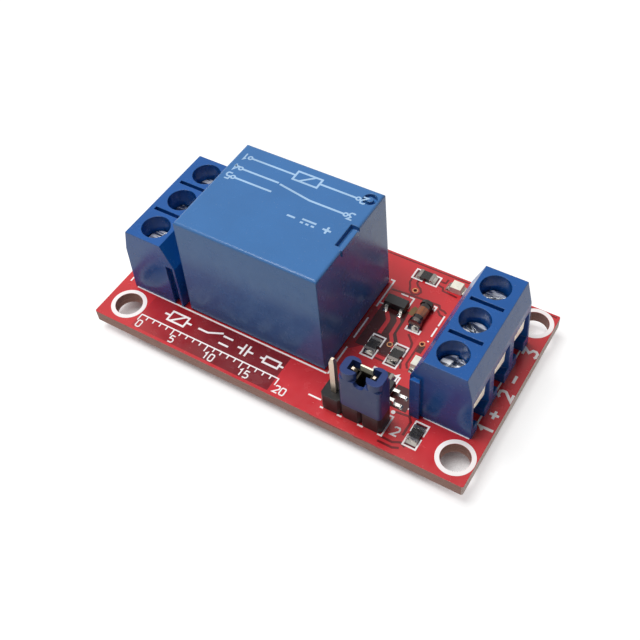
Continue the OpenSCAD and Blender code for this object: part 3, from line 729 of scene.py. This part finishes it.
def make_silkscreen():
    """White print: rings, outlines, and generic marks where the board's words would be."""
    silk = Layer("silkscreen", "silk", "board_red", 0.030)
    for x, y in HOLES:
        silk.circle(x, y, *HOLE_RING, 56)
    # Outlines round the relay, the terminal block, the header and the parts between them
    for points in (
            [(-23.1, -7.62), (4.56, -7.62)],
            [(4.2, 8.4), (4.71, 8.4), (4.71, 3.8)], [(4.71, 4.55), (5.25, 4.55)],
            [(4.71, 1.83), (4.71, -1.64)], [(4.71, -3.17), (4.71, -7.6)],
            [(12.62, 6.3), (12.62, 4.6)], [(12.62, 4.3), (12.62, 2.8)], [(12.62, 2.1), (12.62, 1.9)],
            [(17.0, -7.6), (22.45, -7.6), (22.45, 7.4), (17.0, 7.4)],
            [(13.6, -9.15), (14.1, -9.15), (14.1, -11.89), (13.6, -11.89)],
            [(6.3, -11.89), (6.7, -11.89)], [(8.5, -11.89), (9.1, -11.89)], [(11.1, -11.89), (11.8, -11.89)],
            [(4.28, -11.07), (5.94, -11.07)],
            [(6.4, 6.98), (7.4, 6.98)], [(7.6, 6.98), (8.18, 6.98), (8.18, 5.2)],
            [(9.40, 6.4), (9.40, 7.07), (11.16, 7.07), (11.16, 6.4)],
            [(9.40, 3.0), (9.40, 2.40), (11.16, 2.40), (11.16, 3.0)],
            [(15.0, -7.4), (15.4, -7.4), (15.4, -6.9)],
            [(-24.5, -7.3), (-24.5, -6.4)]):
        silk.line(points, OUTLINE)
    silk.disc(13.78, -8.58, 0.25)
    # A bracket round each end of a chip resistor
    for name in CHIPS:
        c, size = middle(name), extent(name)
        along = size.x > size.y
        for s in (-1, 1):
            corners = [(BRACKET_IN * s, BRACKET_WIDE), (BRACKET_OUT * s, BRACKET_WIDE),
                       (BRACKET_OUT * s, -BRACKET_WIDE), (BRACKET_IN * s, -BRACKET_WIDE)]
            silk.line([(c.x + u, c.y + v) if along else (c.x + v, c.y + u) for u, v in corners], OUTLINE)
    # Circuit symbols where the board's title would be
    symbols = [
        [(-17.4, -9.4), (-16.6, -9.4)], [(-14.2, -9.4), (-13.4, -9.4)], [(-16.2, -10.1), (-14.6, -8.7)],
        [(-12.4, -9.4), (-11.0, -9.4)], [(-11.0, -9.4), (-9.2, -8.6)], [(-9.0, -8.9), (-7.6, -8.9)],
        [(-9.0, -10.0), (-7.6, -10.0)], [(-6.6, -9.4), (-5.8, -9.4)], [(-5.8, -8.6), (-5.8, -10.2)],
        [(-5.2, -8.6), (-5.2, -10.2)], [(-5.2, -9.4), (-4.4, -9.4)], [(-3.4, -9.4), (-2.8, -9.4)],
        [(-0.8, -9.4), (-0.2, -9.4)],
    ]
    for points in symbols:
        silk.line(points)
    silk.line([(-16.6, -10.1), (-14.2, -10.1), (-14.2, -8.7), (-16.6, -8.7)], closed=True)
    silk.line([(-2.8, -9.85), (-0.8, -9.85), (-0.8, -8.95), (-2.8, -8.95)], closed=True)
    # Ruler in millimetres under them
    silk.line([(-19.8, -10.95), (0.2, -10.95)], RULE)
    for k in range(21):
        silk.line([(-19.8 + k, -10.9), (-19.8 + k, -11.5 if k % 5 else -11.9)], RULE)
    for k in range(0, 21, 5):
        silk.number(str(k), -19.55 + k, -12.75, 0.95)
    silk.number("1", 11.6, -4.9, 1.0, OUTLINE)
    silk.number("2", 14.9, -11.2, 1.1, OUTLINE)
    # Right-hand edge: polarity and pole marks beside the terminals
    for text, y in (("1", -6.1), ("+", -4.1), ("2", -1.1), ("-", 1.3), ("3", 5.6)):
        silk.number(text, 24.4, y, 1.55, 0.32, turn=90)
    silk.finish()


def make_relay_print():
    """Wiring diagram of the relay, to be read from the far side: coil between 1 and 2, contact 3, 4, 5."""
    mark = Layer("relay_print", "ink", "relay_blue", 0.012, level=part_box("relay_cover")[1].z / MM)
    mark.line([(-6.6, 6.4), (-3.4, 6.4), (-3.4, 5.0), (-6.6, 5.0)], INK, closed=True)
    ends = [(-12.6, 5.7), (1.4, 5.7), (1.4, 2.9), (-12.6, 3.7), (-12.6, 2.1)]
    for points in ([ends[0], (-6.6, 5.7)], [ends[1], (-3.4, 5.7)], [(-5.8, 5.0), (-4.2, 6.4)],
                   [ends[2], (-3.0, 2.9), (-7.4, 3.6)], [ends[3], (-7.6, 3.7)], [ends[4], (-7.6, 2.1)]):
        mark.line(points, INK)
    for k, (x, y) in enumerate(ends):
        out = -1 if x < 0 else 1
        mark.circle(x + 0.25 * out, y, 0.24, OUTLINE, 20)
        mark.number(str(k + 1), x + 0.6 * out + (0.65 if out > 0 else 0.0), y + 0.5, 1.0, OUTLINE, turn=180)
    # Polarity marks and the sign for direct current
    mark.number("+", 1.6, 0.6, 1.5, INK, turn=180)
    mark.number("-", -3.0, 0.6, 1.5, INK, turn=180)
    mark.line([(-2.2, 0.1), (-0.4, 0.1)], INK)
    for x in (-2.2, -1.5, -0.8):
        mark.line([(x, -0.4), (x + 0.4, -0.4)], INK)
    mark.finish()


class Solder(Layer):
    """Wetted solder: wedges with a hollow face, from the end of a part down to its pad."""

    # (share of the reach, share of the height) from the part's end outwards
    PROFILE = [(-0.06, 0.0), (-0.06, 1.0), (0.0, 1.0), (0.2, 0.7), (0.42, 0.42), (0.66, 0.2),
               (0.86, 0.08), (1.0, 0.02), (1.0, 0.0)]
    # (share of the width, share of the height) from one side to the other
    ACROSS = [(-0.5, 0.55), (-0.42, 0.9), (0.0, 1.0), (0.42, 0.9), (0.5, 0.55)]

    def fillet(self, x, y, turn, width, reach, height):
        """Foot of the wedge at x, y on the part's end, running out along turn degrees."""
        way = turned(turn)
        side = Vector((-way.y, way.x))
        foot = self.level - self.SINK
        rings = []
        for share, lift in self.ACROSS:
            ring = []
            for out, rise in self.PROFILE:
                run = reach * (out if out < 0 else out * (0.82 + 0.18 * lift))
                place = Vector((x, y)) + way * run + side * share * width
                place = Vector((*place, foot + rise * height * lift)) * MM
                ring.append(self.bm.verts.new(place))
            rings.append(ring)
        for a, b in zip(rings, rings[1:]):
            for i in range(len(self.PROFILE)):
                self.bm.faces.new((a[i - 1], a[i], b[i], b[i - 1]))
        self.bm.faces.new(rings[0])
        self.bm.faces.new(rings[-1])


def make_solder():
    """Fillets at every surface-mount lead, and the flux beside the diode."""
    solder = Solder("solder_fillets", "solder", "solder", 0.03)
    for name in CHIPS + LEDS:
        c, size = middle(name), extent(name)
        turn = 0 if size.x > size.y else 90
        half, width = max(size.x, size.y) / 2, min(size.x, size.y) + 0.05
        for s in (0, 180):
            end = turned(turn + s) * half
            solder.fillet(c.x + end.x, c.y + end.y, turn + s, width, 0.34, 0.40)
    c, size = middle("transistor"), extent("transistor")
    for x, s in ((-0.95, -1), (0.95, -1), (0, 1)):
        solder.fillet(c.x + x, c.y + s * (size.y / 2 - 0.1), 90 * s, 0.62, 0.36, 0.2)
    c, size = middle("optocoupler"), extent("optocoupler")
    for s in (-1, 1):
        for y in (-0.635, 0.635):
            solder.fillet(c.x + s * (size.x / 2 - 0.15), c.y + y, 90 - 90 * s, 0.62, 0.4, 0.22)
    c, size = middle("flyback_diode"), extent("flyback_diode")
    for s in (-1, 1):
        solder.fillet(c.x, c.y + s * size.y / 2, 90 * s, 1.5, 0.45, 0.6)
    solder.finish(smooth=True)
    spill = Layer("flux_residue", "residue", "board_red", 0.016)
    spill.plate([(8.6, 4.6), (9.2, 4.5), (9.3, 5.2), (9.25, 5.9), (8.8, 6.0), (8.6, 5.4)])
    spill.finish()


# Outline of a leaf, as (across the pole, above the board), its thickness and how far it stands back
LEAF = [(-1.35, 5.3), (-1.35, 4.3), (-1.1, 4.05), (1.15, 3.45), (1.35, 3.6), (1.35, 5.3)]
LEAF_THICK, LEAF_BACK = 0.12, 0.1


def make_leaves():
    """Cream leaf that hangs from each cage's tongue, behind the housing's brow, cut a little aslant."""
    for side, sign in (("input", 1), ("output", -1)):
        for i in (1, 2, 3):
            cage_low, cage_high = (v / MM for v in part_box("%s_cage_%d" % (side, i)))
            front = (cage_high.x if sign > 0 else cage_low.x) - LEAF_BACK * sign
            y = (cage_low.y + cage_high.y) / 2
            bm = bmesh.new()
            rings = [[bm.verts.new(((front - back * sign) * MM, (y + v * sign) * MM, (TOP + z) * MM))
                      for v, z in LEAF] for back in (0.0, LEAF_THICK)]
            for ring in rings:
                bm.faces.new(ring)
            for k in range(len(rings[0])):
                bm.faces.new((rings[0][k - 1], rings[0][k], rings[1][k], rings[1][k - 1]))
            bmesh.ops.recalc_face_normals(bm, faces=bm.faces)
            mesh = bpy.data.meshes.new("%s_leaf_%d" % (side, i))
            bm.to_mesh(mesh)
            bm.free()
            mesh.materials.append(MAT["leaf"])
            leaf = bpy.data.objects.new(mesh.name, mesh)
            bpy.context.scene.collection.objects.link(leaf)
            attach(leaf, "board")


def make_underside():
    """Wide copper from the relay's contacts to the output block, and the coil's and header's traces."""
    copper = Layer("under_copper", "trace", "board_red", 0.03, level=UNDER, facing=-1)
    for points, width in (
            ([(-12.45, 6.3), (-16.0, 6.3), (-19.4, 5.0)], 2.6),
            ([(-12.45, -5.7), (-16.0, -5.7), (-19.4, -5.2)], 2.6),
            ([(1.75, 0.3), (-8.0, 0.3), (-19.4, -0.1)], 3.0),
            ([(-0.25, 6.3), (4.0, 8.2), (12.0, 8.2), (18.75, 5.0)], 0.8),
            ([(-0.25, -5.7), (3.5, -8.4), (7.6, -8.4), (7.6, -10.5)], 0.6),
            ([(12.7, -10.5), (14.5, -8.0), (18.75, -5.2)], 0.6),
            ([(10.15, -10.5), (10.15, -2.0), (18.75, -0.1)], 0.6)):
        copper.line(points, width)
    copper.finish()


set_camera()
set_world()
set_key()
set_floor()
make_materials()
dress_nodes()
make_mask_zones()
make_gaps()
make_traces()
make_silkscreen()
make_relay_print()
make_solder()
make_leaves()
make_underside()

bpy.context.scene.view_settings.view_transform = "Standard"
